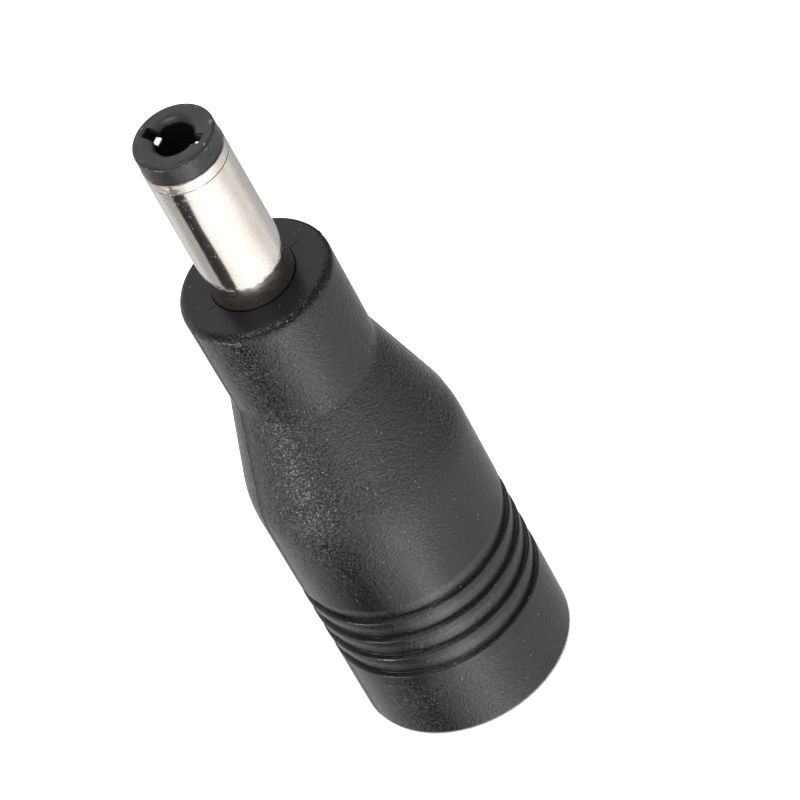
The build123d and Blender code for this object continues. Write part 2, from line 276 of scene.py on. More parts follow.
groove_tops = shoulder_height - groove_drop - groove_pitch * np.arange(groove_count)[::-1]
groove_corners = []
for top in groove_tops:
    bottom = top - groove_flank - groove_floor
    groove_corners += [
        (body_radius(bottom), bottom, 0.2),
        (body_radius(bottom) - groove_depth, bottom, 0.035),
        (body_radius(top) - groove_depth, top - groove_flank, 0.2),
        (body_radius(top), top, 1.2),
    ]
skin_corners = [
    (housing_radius, rear, 0.08),
    (rear_radius, rear, rear_blend),
    *groove_corners,
    (shoulder_radius, shoulder_height, shoulder_blend),
    (neck_radius, neck_height, neck_blend),
    (nose_radius, nose_height, nose_blend),
    (gap_radius, nose_height, 0.05),
    (gap_radius, gap_bottom, 0.03),
]
cavity_corners = [
    (undercut_radius, gap_bottom, 0),
    (undercut_radius, flange_top, 0),
    (flange_radius, flange_top, 0),
    (flange_radius, flange_bottom, 0),
    (ring_radius, flange_bottom, 0),
    (ring_radius, ring_bottom, 0),
    (core_radius, ring_bottom, 0),
    (core_radius, neck_height, 0),
    (housing_radius, shoulder_height, 0),
]
lock_corners = []
for lock_bottom in (7.6, 10.0):
    lock_corners += [
        (housing_radius, lock_bottom, 0),
        (lock_radius, lock_bottom, 0),
        (lock_radius, lock_bottom + lock_width, 0),
        (housing_radius, lock_bottom + lock_width, 0),
    ]
cavity_corners += lock_corners[::-1]
moulding_section = divided(rounded(skin_corners + cavity_corners, steps=6), 0.8)
print("moulding section:", len(moulding_section), "points")

# %% [markdown]
# The surface lies a hair inside the solid, and the mould line rises from it to the solid's own radius.
# Low waves, a few thousandths of a millimetre high, stand for the shrinkage that every thick moulding
# has. They bend the reflections a little, which a perfect lathe shape doesn't.

# %% The moulding's surface
skin_depth = 0.03
line_half_width = 0.055
line_height = 0.028
half_mismatch = 0.01
mismatch_width = 0.02
wave_height = 0.006
witness_depth = 0.035
witness_inset = 0.7
witness_length = 1.3
seat_rows = 4

angles = angles_round(320, crowd=0.86)
from_plane = turned(moulding_section, angles)[..., 1]
radius = moulding_section[:, :1]
height = moulding_section[:, 1:]
face_rows = (height > nose_height - CLOSE) & (radius < nose_radius - nose_blend)
skin_rows = (np.cumsum(face_rows, axis=0) == 0) & (np.arange(len(radius))[:, None] >= seat_rows)
on_line = np.exp(-((from_plane / line_half_width) ** 2))
waves = (
    np.sin(3 * angles + 0.5 * height)
    + np.sin(5 * angles - 0.37 * height + 1.0)
    + np.sin(2 * angles + 0.9 * height)
)
mismatch = half_mismatch * np.tanh(from_plane / mismatch_width) * 0.5
swell = line_height * on_line + mismatch + wave_height * waves / 3
new_radius = radius + skin_rows * (swell - skin_depth)
leaves_gap = np.clip((radius - gap_radius) / 0.05, 0, 1)
fades_out = np.clip((nose_radius - witness_inset - radius) / witness_length, 0, 1)
sink = face_rows * witness_depth * on_line * (leaves_gap * fades_out)
moulding_points = round_points(new_radius, angles, height - sink)
moulding_mesh = mesh_of("moulded_body", moulding_points, grid_faces(*moulding_points.shape[:2]))
mark(moulding_mesh, "grain", skin_rows * np.ones_like(angles))
mark(moulding_mesh, "mould_line", (skin_rows | face_rows) * on_line)
moulded_body = piece("moulded_body", moulding_mesh, "outer_moulding", "outer_moulding")

# %% [markdown]
# ## The plug's sleeve
# The sleeve is turned from brass and plated. Its flange and hub are buried in the moulding, and near
# the front runs a fine turned line. A plain lathe section says all of it.

# %% The sleeve's surface
barrel_bore = 2.3
seam_drop = 0.77
seam_width = 0.09
seam_depth = 0.04
seam_top = barrel_front - seam_drop
sleeve_section = rounded(
    [
        (barrel_bore, hub_bottom, 0),
        (hub_radius, hub_bottom, 0),
        (hub_radius, flange_bottom, 0),
        (flange_radius, flange_bottom, 0),
        (flange_radius, flange_top, 0),
        (undercut_radius, flange_top, 0),
        (undercut_radius, nose_height, 0),
        (barrel_radius, nose_height, 0.02),
        (barrel_radius, seam_top - seam_width, 0.012),
        (barrel_radius - seam_depth, seam_top - seam_width / 2, 0.01),
        (barrel_radius, seam_top, 0.012),
        (barrel_radius, barrel_front, 0.07),
        (barrel_bore, barrel_front, 0.03),
    ]
)
sleeve_points = turned(divided(sleeve_section, 0.5), angles_round(256))
sleeve_mesh = mesh_of("plug_sleeve", sleeve_points, grid_faces(*sleeve_points.shape[:2]))
plug_sleeve = piece("plug_sleeve", sleeve_mesh, "sleeve_plating", "plug_barrel")

# %% [markdown]
# ## The plug's insulator
# A black liner fills the sleeve and its head covers the sleeve's front edge. The pin goes in through a
# round bore with a rounded lead-in, and a slot on each side holds an arm of the fork. Seen along the
# axis, bore and slots make a keyhole. Every ray from the axis crosses a keyhole's edge once, so one
# radius for each angle describes it, and the wall can be a row of the same grid as the outside.

# %% Keyhole outlines
fork_angle = radians(-59.0)
slot_half_width = 0.4
slot_reach = 2.05
stem_half_width = 0.9
lead_in_radius = 1.75
lead_in_depth = 0.4
lead_in_rim = lead_in_radius + 0.07
lead_in_power = 1.33
ragged_depth = 2.0
bore_depth = 11.2
bore_floor = tip_height - bore_depth
yoke_top = bore_floor - 0.3
yoke_height = 1.6
yoke_bottom = yoke_top - yoke_height
liner_radius = barrel_bore - 0.03
head_blend = 0.24
face_sink = 0.18
head_inset = 0.03
face_height = tip_height - face_sink
outer_head_radius = head_radius - head_inset


def slot_edge(angle, half_length, half_width, squareness=18):
    """The radius of a rounded rectangle: the superellipse (|x| / a)^n + (|y| / b)^n = 1 in polar form."""
    along = np.abs(np.cos(angle)) / half_length
    across = np.abs(np.sin(angle)) / half_width
    return (along**squareness + across**squareness) ** (-1 / squareness)


def either(first, second, sharpness=30):
    """The outline of two shapes together: a large power of each, added, and the same root of the sum."""
    return (first**sharpness + second**sharpness) ** (1 / sharpness)


liner_angles = angles_round(360, crowd=0.8)
slot = slot_edge(liner_angles, slot_reach, slot_half_width)
stem = slot_edge(liner_angles, stem_half_width, slot_half_width)
print("slots reach", round(float(slot.max()), 3), "mm from the axis")

# %% The insulator's surface
outside = rounded(
    [
        (stem_half_width, hub_bottom, 0),
        (liner_radius, hub_bottom, 0),
        (liner_radius, barrel_front, 0),
        (outer_head_radius, barrel_front, 0.05),
        (outer_head_radius, face_height, head_blend),
        (lead_in_radius, face_height, 0),
    ],
    steps=7,
)
outside = divided(outside[1:-1], 0.35, closed=False)
ragged = 0.03 * np.sin(5 * liner_angles + 2.0) * np.sin(3 * liner_angles)
lead_in_turn = np.linspace(0.5, 0.0, 9) * pi
lead_in_rise = lead_in_depth * (np.sin(lead_in_turn) ** lead_in_power - 1)
lead_in_width = (lead_in_rim - pin_bore_radius) * (1 - np.cos(lead_in_turn) ** lead_in_power)
inner_levels = [
    (either(pin_bore_radius + wide + ragged, slot), face_height + rise)
    for wide, rise in zip(lead_in_width, lead_in_rise)
]
inner_levels += [
    (either(pin_bore_radius + ragged / 2, slot), face_height - lead_in_depth - 0.3),
    (either(pin_bore_radius, slot), tip_height - ragged_depth),
    (either(pin_bore_radius, slot), bore_floor),
    (slot, bore_floor),
    (slot, yoke_bottom),
    (stem, yoke_bottom),
    (stem, hub_bottom),
]
outer_radii = outside[:, :1] * np.ones_like(liner_angles)
liner_radii = np.concatenate([outer_radii, [level for level, _ in inner_levels]])
liner_heights = np.concatenate([outside[:, 1:], [[level] for _, level in inner_levels]])
liner_points = round_points(liner_radii, liner_angles + fork_angle, liner_heights)
liner_mesh = mesh_of("plug_liner", liner_points, grid_faces(*liner_radii.shape))
inner_rows = np.arange(len(liner_radii))[:, None] >= len(outside)
in_bore = liner_heights < face_height - 0.8 * lead_in_depth
in_slot = (liner_radii > lead_in_radius + 0.1) & (liner_heights < face_height - 0.001)
# The walls of the bore and slots are marked for painted shade, which the tip's finish colours almost black.
mark(liner_mesh, "inside", inner_rows & (in_bore | in_slot))
on_blend = liner_radii > outer_head_radius - head_blend - CLOSE
on_rim = on_blend & (liner_heights > face_height - head_blend - 0.12)
mark(liner_mesh, "rim", on_rim & ~inner_rows)
plug_liner = piece("plug_liner", merged(liner_mesh), "plug_insulator", "plug_insulator")

# %% [markdown]
# ## The fork contact
# The fork is stamped from brass sheet and plated: a stem, a yoke and two arms whose tips lean inwards
# to grip the pin. Stamping rolls the edges over, so a Bevel modifier rounds every edge of the plate.

# %% The fork's plate
fork_thickness = 0.6
stem_width = 1.6
arm_inner = pin_bore_radius + 0.02
arm_outer = slot_reach - 0.1
grip_radius = pin_bore_radius - 0.13
grip_bottom = arm_tip - 2.4
tip_width = 0.45
arm_top = arm_tip - 0.1
right_side = rounded(
    [
        (0, tail_bottom, 0),
        (stem_width / 2, tail_bottom, 0.1),
        (stem_width / 2, yoke_bottom, 0.1),
        (arm_outer, yoke_bottom, 0.1),
        (arm_outer, grip_bottom, 1.5),
        (grip_radius + tip_width, arm_top, 0.15),
        (grip_radius, arm_top, 0.15),
        (arm_inner, grip_bottom, 1.5),
        (arm_inner, yoke_top, 0.3),
        (0, yoke_top, 0),
    ]
)
# The outline starts at its foot on the axis, and its mirror image runs back down to it.
right_side = right_side[np.argmin(right_side[:, 1] + right_side[:, 0]) :]
outline = np.concatenate([right_side, right_side[::-1] * [-1, 1]])
outline = outline[np.linalg.norm(outline - np.roll(outline, 1, axis=0), axis=1) > 1e-6]
along = outline[:, :1] * np.array([[cos(fork_angle), sin(fork_angle)]])
across = np.array([[-sin(fork_angle), cos(fork_angle)]]) * fork_thickness / 2
near_side = np.column_stack([along - across, outline[:, 1]])
far_side = np.column_stack([along + across, outline[:, 1]])
count = len(outline)
near_face = list(range(count))
far_face = list(range(2 * count - 1, count - 1, -1))
edge_faces = grid_faces(2, count, close_rows=False).reshape(-1, 4)[:, ::-1].tolist()
fork_mesh = bpy.data.meshes.new("fork_blade")
fork_mesh.from_pydata(np.concatenate([near_side, far_side]) * MM, [], [near_face, far_face, *edge_faces])
fork_mesh.update()
fork_blade = piece("fork_blade", fork_mesh, "fork_plating", "fork_contact")
rolled = fork_blade.modifiers.new("rolled edges", "BEVEL")
rolled.width = 0.05 * MM
rolled.segments = 2
rolled.limit_method = "ANGLE"

# %% [markdown]
# ## The socket's housing
# The rear end is a socket for a wider sleeve plug. Its housing is a black cup whose mouth is slightly
# narrower than its seat, and two grooves round it lock it into the moulding.

# %% The housing's surface
mouth_depth = 1.5
mouth_top = housing_bottom + mouth_depth
mouth_chamfer = 0.3
housing_corners = [
    (mouth_radius + mouth_chamfer, housing_bottom, 0.04),
    (housing_radius, housing_bottom, 0.05),
    *lock_corners,
    (housing_radius, housing_top, 0),
    (seat_radius, housing_top, 0),
    (seat_radius, mouth_top, 0.03),
    (mouth_radius, mouth_top, 0.04),
    (mouth_radius, housing_bottom + mouth_chamfer, 0.04),
]
housing_points = turned(divided(rounded(housing_corners), 1.0), angles_round(192))
housing_mesh = mesh_of("socket_shell", housing_points, grid_faces(*housing_points.shape[:2]))
socket_shell = piece("socket_shell", housing_mesh, "socket_plastic", "socket_housing")

# %% [markdown]
# ## The socket's spring contact
# A brass sheet is rolled into a tube whose front end is slit into four fingers. They lean inwards to
# press on the plug and flare out again at the mouth. The sheet is one grid, its slits are left out,
# and Solidify gives it its thickness.

# %% The spring contact's surface
lead_angle = fork_angle + pi / 2
sheet_thickness = 0.3
spring_inner = spring_radius - sheet_thickness
waist_radius = 3.74
finger_waist = contact_bottom + 1.5
finger_root = finger_waist + 5.6
collar_top = housing_top - 1.5
slit_half_width = 0.35
finger_count = 4
tag_width = 2.4
tag_half_angle = asin(tag_width / 2 / spring_inner)
side_columns = 9


def places_across(tag_share, tag_columns):
    """Places from -1 to 1 across a finger: even steps over its tag, and the same number on either side."""
    beside = np.linspace(tag_share, 1, side_columns)
    over = np.linspace(-tag_share, tag_share, tag_columns)[1:-1]
    return np.concatenate([-beside[::-1], over, beside])


def thickened(sheet, thickness):
    """Gives a sheet its thickness in millimetres, outwards, with a Solidify modifier."""
    wall = sheet.modifiers.new("sheet", "SOLIDIFY")
    wall.thickness = thickness * MM
    wall.offset = 1.0


sheet_heights = np.concatenate(
    [
        np.linspace(contact_bottom, finger_waist, 7)[:-1],
        np.linspace(finger_waist, finger_root, 9)[:-1],
        np.linspace(finger_root, collar_top, 5),
        np.linspace(collar_top, tag_top, 6)[1:],
    ]
)[:, None]
sheet_radii = np.interp(
    sheet_heights,
    [contact_bottom, finger_waist, finger_root, collar_top],
    [spring_inner, waist_radius, spring_inner, spring_inner],
)
half_finger = pi / finger_count - np.arcsin(slit_half_width / sheet_radii)
place = places_across(tag_half_angle / float(half_finger[-1, 0]), 12)
finger_steps = len(place)
finger_centres = lead_angle + 2 * pi / finger_count * np.arange(finger_count)
sheet_angles = finger_centres[None, :, None] + half_finger[:, :, None] * place
sheet_angles = sheet_angles.reshape(len(sheet_heights), -1)
sheet_points = round_points(sheet_radii, sheet_angles, sheet_heights)
sheet_faces = grid_faces(*sheet_angles.shape, close_rows=False)
column = np.arange(sheet_angles.shape[1])
in_slit = column % finger_steps == finger_steps - 1
above_root = sheet_heights[:-1] > finger_root - CLOSE
in_tag = (column >= side_columns - 1) & (column < finger_steps - side_columns)
kept = np.where(sheet_heights[:-1] > collar_top - CLOSE, in_tag, above_root | ~in_slit)
spring_mesh = sheet_of("socket_spring", sheet_points, sheet_faces[kept])
socket_spring = piece("socket_spring", spring_mesh, "socket_plating", "socket_outer_contact")
thickened(socket_spring, sheet_thickness)

# %% [markdown]
# ## The post in the socket
# A plastic post carries a slit tube, the socket's other contact, and ends in a cap with a hole for the
# thin pin of the plug.

# %% The post's contact
post_sheet_thickness = 0.375
post_radius = post_contact_radius - post_sheet_thickness
post_slit_top = post_contact_bottom + 4.6
post_slit_half_width = 0.25
post_slits = 3
post_tag_half_width = 0.8
tube_heights = np.concatenate(
    [
        np.linspace(post_contact_bottom, post_slit_top, 6)[:-1],
        np.linspace(post_slit_top, collar_top, 6),
        np.linspace(collar_top + 0.05, tag_top, 5),
    ]
)[:, None]
half_leaf = pi / post_slits - asin(post_slit_half_width / post_radius)
leaf_centres = lead_angle + 2 * pi / post_slits * (np.arange(post_slits) + 0.5)
leaf_place = places_across(asin(post_tag_half_width / post_radius) / half_leaf, 8)
leaf_steps = len(leaf_place)
tube_angles = (leaf_centres[:, None] + half_leaf * leaf_place).reshape(1, -1)
flat_tag = tube_heights > collar_top + CLOSE
tube_radii = post_radius * np.where(flat_tag, 1 / np.cos(tube_angles - leaf_centres[1]), 1)
tube_points = round_points(tube_radii, tube_angles, tube_heights)
tube_faces = grid_faces(len(tube_heights), tube_angles.size, close_rows=False)
tube_column = np.arange(tube_angles.size)
tube_slit = tube_column % leaf_steps == leaf_steps - 1
in_post_tag = (tube_column >= leaf_steps + side_columns - 1) & (tube_column < 2 * leaf_steps - side_columns)
in_tube = (tube_heights[:-1] > post_slit_top - CLOSE) | ~tube_slit
tube_kept = np.where(tube_heights[:-1] > collar_top - CLOSE, in_post_tag, in_tube)
tube_mesh = sheet_of("post_tube", tube_points, tube_faces[tube_kept])
post_tube = piece("post_tube", tube_mesh, "socket_plating", "socket_inner_contact")
thickened(post_tube, post_sheet_thickness)

# %% The post's core
cap_chamfer = 0.35
notch_clearance = 0.05
notch_margin = 0.02
hole_depth = mounts["socket_centre_hole"]["length_mm"]
core_section = rounded(
    [
        (0, post_bottom + hole_depth, 0),
        (centre_hole_radius, post_bottom + hole_depth, 0),
        (centre_hole_radius, post_bottom, 0.08),
        (post_contact_radius - cap_chamfer, post_bottom, 0.06),
        (post_contact_radius, post_bottom + cap_chamfer, 0.06),
        (post_contact_radius, post_contact_bottom, 0),
        (post_radius, post_contact_bottom, 0),
        (post_radius, collar_top, 0),
        (spring_radius, collar_top, 0),
        (spring_radius, housing_top, 0),
        (0, housing_top, 0),
    ]
)
core_angles = angles_round(256, start=lead_angle)
from_lead = np.abs((core_angles - lead_angle + pi) % (2 * pi) - pi)
in_notch = from_lead < tag_half_angle + notch_margin
notch_radius = np.where(in_notch, spring_inner - notch_clearance, spring_radius)
core_points = round_points(np.minimum(core_section[:, :1], notch_radius), core_angles, core_section[:, 1:])
core_mesh = merged(mesh_of("post_core", core_points, grid_faces(*core_points.shape[:2], close_rows=False)))
post_core = piece("post_core", core_mesh, "socket_plastic", "socket_core")

# %% [markdown]
# ## Shader sums written in Python
# A material is a tree of nodes. The class below wraps a node's output, so that a sum such as
# 1 - mask adds the Math node that works it out, and one method adds any other kind of node.


# %% A socket that does sums, and a finish that adds nodes
class Signal:
    """An output of a node. Its operators add Math nodes to the finish that it belongs to."""

    def __init__(self, finish, socket):
        self.finish = finish
        self.socket = socket

    def math(self, operation, *values):
        return self.finish.add("ShaderNodeMath", {"operation": operation}, values)

    def __add__(self, other):
        return self.math("ADD", self, other)

    def __sub__(self, other):
        return self.math("SUBTRACT", self, other)

    def __rsub__(self, other):
        return self.math("SUBTRACT", other, self)

    def __mul__(self, other):
        return self.math("MULTIPLY", self, other)

    __radd__ = __add__
    __rmul__ = __mul__

    def above(self, low, high):
        """0 below the low value, 1 above the high one and a smooth rise between them."""
        values = {"Value": self, "From Min": low, "From Max": high}
        return self.finish.add("ShaderNodeMapRange", {"interpolation_type": "SMOOTHSTEP"}, values)


class Tree:
    """A node tree, with one method that adds any node and a few for what most finishes need."""

    def __init__(self, owner, place="Object"):
        owner.use_nodes = True
        self.owner = owner
        self.tree = owner.node_tree
        self.tree.nodes.clear()
        self.place = self.add("ShaderNodeTexCoord", output=place)

    def add(self, kind, settings=(), values=(), output=0):
        """Adds a node: first its settings, then the numbers or links of its sockets, by name or in order."""
        node = self.tree.nodes.new(kind)
        for key, value in dict(settings).items():
            setattr(node, key, value)
        pairs = values.items() if isinstance(values, dict) else enumerate(values)
        for key, value in pairs:
            if isinstance(value, Signal):
                self.tree.links.new(value.socket, node.inputs[key])
            else:
                node.inputs[key].default_value = value
        return Signal(self, node.outputs[output]) if len(node.outputs) else node

    def mark(self, name):
        """A number that the mesh carries for each vertex."""
        return self.add("ShaderNodeAttribute", {"attribute_name": name}, output="Fac")

    def height(self):
        """The height on the piece, in millimetres."""
        return self.add("ShaderNodeSeparateXYZ", {}, (self.place,), "Z") * (1 / MM)

    def stretched(self, x, y, z):
        """The place on the piece, multiplied along each axis."""
        return self.add("ShaderNodeVectorMath", {"operation": "MULTIPLY"}, (self.place, (x, y, z)))

    def noise(self, grain_mm, detail, place=None, distortion=0.0):
        """Smooth random values from 0 to 1, whose grain has about this size in millimetres."""
        values = {"Vector": place or self.place, "Scale": 1 / (grain_mm * MM)}
        return self.add("ShaderNodeTexNoise", {}, {**values, "Detail": detail, "Distortion": distortion})

    def dots(self, spacing_mm, low, high):
        """Sparse dots: 1 where a random cell's point is nearer than the low value, 0 beyond the high one."""
        values = {"Vector": self.place, "Scale": 1 / (spacing_mm * MM)}
        return 1 - self.add("ShaderNodeTexVoronoi", {}, values, "Distance").above(low, high)

    def mixed(self, share, first, second):
        """A colour between two others."""
        return self.add("ShaderNodeMix", {"data_type": "RGBA"}, {0: share, 6: first, 7: second}, output=2)

    def bump(self, height, depth_mm, under=None):
        """A normal tilted by a height from 0 to 1 that stands for this many millimetres."""
        values = {"Height": height, "Distance": depth_mm * MM}
        return self.add("ShaderNodeBump", {}, {**values, "Normal": under} if under else values)


def near(signal, middle, span, soft):
    """1 within `span` of a middle value, and a smooth fall to 0 over the next `soft`."""
    offset = signal - middle
    return 1 - offset.math("ABSOLUTE", offset).above(span, span + soft)


class Finish(Tree):
    """A material that is being made."""

    def __init__(self, name):
        super().__init__(bpy.data.materials.new(name))

    def shade(self, **values):
        """Ends the material in a Principled shader with these inputs."""
        inputs = {key.replace("_", " "): value for key, value in values.items()}
        shader = self.add("ShaderNodeBsdfPrincipled", {}, inputs)
        self.add("ShaderNodeOutputMaterial", {}, {"Surface": shader})
        print("finish", self.owner.name, "has", len(self.tree.nodes), "nodes")
        return self.owner


def grey(level, warmth=0.0):
    """An opaque grey whose red is raised and whose blue is lowered by the warmth."""
    return (level * (1 + warmth), level, level * (1 - warmth), 1.0)


def wear(finish, *objects):
    """Gives objects this finish as their only material."""
    for made in objects:
        made.data.materials.clear()
        made.data.materials.append(finish)


# %% [markdown]
# ## Black moulding
# The mould's cavity was eroded by sparks, which leaves a fine leathery grain on the sides. The nose
# face was cut smooth. Soft PVC also picks up dust, and its colour is never perfectly even.


# %% The moulding's finish
def moulded_black():
    """Black PVC: grain on the marked skin, a faint sheen change in patches, and a few specks of dust."""
    finish = Finish("moulded_black")
    grain = finish.mark("grain")
    line = finish.mark("mould_line")
    patches = finish.noise(4.0, 3.0)
    wrinkles = finish.noise(0.18, 0.0, distortion=1.0)
    sand = finish.noise(0.11, 1.0)
    height = finish.height()
    flare_middle = 24.0
    grooves_middle = 8.4
    smooth = 1 - height.above(12.0, 19.0)
    coarse = 0.72 - 0.42 * smooth + 0.45 * near(height, flare_middle, 3.0, 3.0)
    coarse = coarse + 0.27 * near(height, rear, 4.6, 0.8)
    rings = finish.noise(1.0, 2.0, finish.stretched(0.3, 0.3, 10.0))
    ringed = rings * near(height, grooves_middle, 3.6, 0.6)
    dust = finish.dots(0.55, 0.04, 0.09) * finish.noise(2.5, 1.0).above(0.38, 0.55)
    tone = finish.mixed(patches, (0.0042, 0.0038, 0.0044, 1), (0.0080, 0.0074, 0.0082, 1))
    tone = finish.mixed(dust * 0.5, tone, grey(0.3, 0.03))
    tone = finish.mixed(line * 0.35, tone, grey(0.01, 0.1))
    fine = sand * (0.2 + 0.8 * grain)
    normal = finish.bump(fine, 0.013, under=finish.bump(wrinkles * grain * coarse + ringed * 0.3, 0.066))
    roughness = 0.10 + patches * 0.06 + (1 - grain) * 0.13 + smooth * 0.05
    return finish.shade(Base_Color=tone, Roughness=roughness, Normal=normal)


wear(moulded_black(), moulded_body)

# %% [markdown]
# ## Plating, tip and socket
# Nickel over turned brass is bright and slightly warm. Its reflections waver a little, its front is
# scuffed from use and its foot carries a painted dark reflection of the black nose face. The tip and
# the socket are harder, smoother plastics.


# %% Finishes of the metal pieces
def spring_plating():
    """Bright nickel with forming marks round the axis, slow waves and a few dark pits."""
    finish = Finish("spring_nickel")
    streaks = finish.noise(1.0, 3.0, finish.stretched(0.6, 0.6, 14.0))
    waves = finish.noise(1.6, 1.0)
    pits = finish.dots(0.9, 0.02, 0.045) * finish.noise(1.9, 1.0).above(0.52, 0.62)
    clouds = finish.noise(1.1, 4.0)
    tone = finish.mixed(clouds.above(0.35, 0.75) * 0.5, (0.86, 0.84, 0.80, 1), (0.7998, 0.756, 0.68, 1))
    tone = finish.mixed(pits * 0.7, tone, grey(0.12, 0.1))
    roughness = 0.18 + streaks * 0.05 + pits * 0.3
    normal = finish.bump(streaks, 0.001, under=finish.bump(waves, 0.005))
    return finish.shade(Base_Color=tone, Metallic=1.0, Roughness=roughness, Normal=normal)


def sleeve_plating():
    """Nickel on turned brass: wavering, with beige streaks, specks, a scuffed front and a painted dark
    reflection at its base.
    """
    finish = Finish("sleeve_nickel")
    height = finish.height()
    waves = finish.noise(2.4, 1.0, finish.stretched(1.0, 1.0, 0.45))
    skin = finish.noise(0.16, 2.0)
    dents = finish.noise(0.4, 2.0)
    streaks = finish.noise(1.1, 3.0, finish.stretched(1.0, 1.0, 0.3))
    patches = finish.noise(0.5, 3.0, finish.stretched(1.0, 1.0, 1.6))
    mottle = finish.noise(0.22, 3.0)
    specks = finish.dots(0.5, 0.06, 0.11) * finish.noise(1.6, 1.0).above(0.40, 0.55)
    powder = finish.dots(0.21, 0.12, 0.3) * finish.noise(0.9, 2.0).above(0.35, 0.6)
    scuffs = height.above(seam_top - 1.1, seam_top - 0.7) * patches.above(0.47, 0.62)
    rust = height.above(barrel_front - 0.15, barrel_front - 0.06) * finish.noise(1.5, 2.0).above(0.35, 0.65)
    # Painted reflection: just above the nose the sleeve is coloured dark brown, for the mirrored black nose.
    base_reflection_band = 1 - height.above(nose_height + 0.8, nose_height + 2.2)
    painted_base_reflection = base_reflection_band * (0.4 + 0.6 * mottle.above(0.35, 0.7))
    mirrored_edge = near(height, nose_height + 2.3, 0.3, 0.5)
    collar = height.above(seam_top, seam_top + 0.08)
    tone = finish.mixed(streaks.above(0.35, 0.7) * 0.6, (0.90, 0.865, 0.775, 1), (0.83, 0.755, 0.63, 1))
    tone = finish.mixed(mottle.above(0.5, 0.75) * 0.5, tone, (0.72, 0.64, 0.52, 1))
    tone = finish.mixed(specks * 0.8, tone, (0.42, 0.34, 0.27, 1))
    tone = finish.mixed(rust * 0.8, tone, (0.20, 0.10, 0.06, 1))
    # The painted reflection at the base: dark brown, and a little less metallic.
    tone = finish.mixed(painted_base_reflection * 0.8, tone, (0.21, 0.15, 0.12, 1))
    return finish.shade(
        Base_Color=tone,
        Metallic=1 - (specks * 0.4 + powder * 0.12) * (1 - base_reflection_band * 0.6) - painted_base_reflection * 0.03,
        Roughness=0.09 + streaks * 0.05 + scuffs * 0.2 + specks * 0.3 + painted_base_reflection * 0.15 + collar * 0.2,
        Normal=finish.bump(skin * 0.15 + dents * mirrored_edge, 0.012, under=finish.bump(waves, 0.06)),
    )


wear(sleeve_plating(), plug_sleeve)


def fork_plating():
    """Dull nickel on the fork: matt and pale at the tips, a painted highlight, brighter and streaked below
    them.
    """
    finish = Finish("fork_nickel")
    height = finish.height()
    streaks = finish.noise(0.5, 3.0, finish.stretched(1.0, 1.0, 0.2))
    # Painted highlight: less metal at the arm tips lets the lamps light the plate's colour, so the tips show
    # pale.
    painted_tip_highlight = height.above(arm_top - 0.16, arm_top - 0.08)
    tone = finish.mixed(streaks, (0.52, 0.50, 0.46, 1), (0.66, 0.64, 0.60, 1))
    return finish.shade(Base_Color=tone, Metallic=1 - painted_tip_highlight * 0.75, Roughness=0.3 + streaks * 0.1 + painted_tip_highlight * 0.2)


wear(fork_plating(), fork_blade)
wear(spring_plating(), socket_spring, post_tube)


# %% Finishes of the hard plastics
def socket_black():
    """Moulded black plastic with a satin skin, faint flow clouds and small scuffs."""
    finish = Finish("socket_black")
    clouds = finish.noise(1.5, 3.0)
    skin = finish.noise(0.09, 2.0)
    scuffs = finish.noise(0.6, 4.0, finish.stretched(1.0, 1.0, 3.0)).above(0.66, 0.8)
    tone = finish.mixed(clouds, grey(0.028, 0.02), grey(0.042, -0.02))
    tone = finish.mixed(scuffs * 0.4, tone, grey(0.112))
    roughness = 0.30 + clouds * 0.12 + scuffs * 0.1
    return finish.shade(Base_Color=tone, Roughness=roughness, Normal=finish.bump(skin, 0.003))


def tip_black():
    """Satin black: flow clouds, pale scuffs on the rim, a few specks, and painted shade in bore and slots,
    which have no sheen.
    """
    finish = Finish("tip_black")
    inside = finish.mark("inside")
    clouds = finish.noise(1.3, 3.0)
    skin = finish.noise(0.14, 2.0)
    rim = finish.mark("rim")
    dents = finish.noise(1.1, 1.0)
    scuffs = finish.noise(0.4, 3.0, finish.stretched(1.0, 1.0, 2.5)).above(0.58, 0.68) * rim
    specks = finish.dots(0.9, 0.03, 0.06)
    tone = finish.mixed(clouds, (0.006, 0.0058, 0.0063, 1), (0.021, 0.0203, 0.0218, 1))
    tone = finish.mixed(scuffs * 0.35, tone, grey(0.16))
    tone = finish.mixed(specks * 0.5, tone, grey(0.3))
    # Painted shade: the bore and slot walls are coloured almost black, and they lose their sheen.
    tone = finish.mixed(inside, tone, grey(0.0005))
    roughness = 0.27 + clouds * 0.1 + scuffs * 0.1 + inside * 0.5
    normal = finish.bump(skin, 0.006, under=finish.bump(dents, 0.06))
    return finish.shade(Base_Color=tone, Roughness=roughness, Normal=normal)


wear(tip_black(), plug_liner)
wear(socket_black(), socket_shell, post_core)

# %% [markdown]
# ## Pieces sealed inside
# Nothing of these shows unless the moulding is cut open, so their solids stay as they are. They still
# get finishes of their own, because someone may hide the moulding to see how the adapter is built.


# %% Finishes of the sealed pieces
def mottled(name, first, second, grain_mm, roughness, metallic=0.0, depth_mm=0.004, stretch=(1, 1, 1)):
    """Two tones in cloudy patches, with a bump and a change of sheen from the same noise."""
    finish = Finish(name)
    clouds = finish.noise(grain_mm, 4.0, finish.stretched(*stretch))
    return finish.shade(
        Base_Color=finish.mixed(clouds.above(0.3, 0.7), first, second),
        Metallic=metallic,
        Roughness=roughness + clouds * 0.15,
        Normal=finish.bump(clouds, depth_mm),
    )


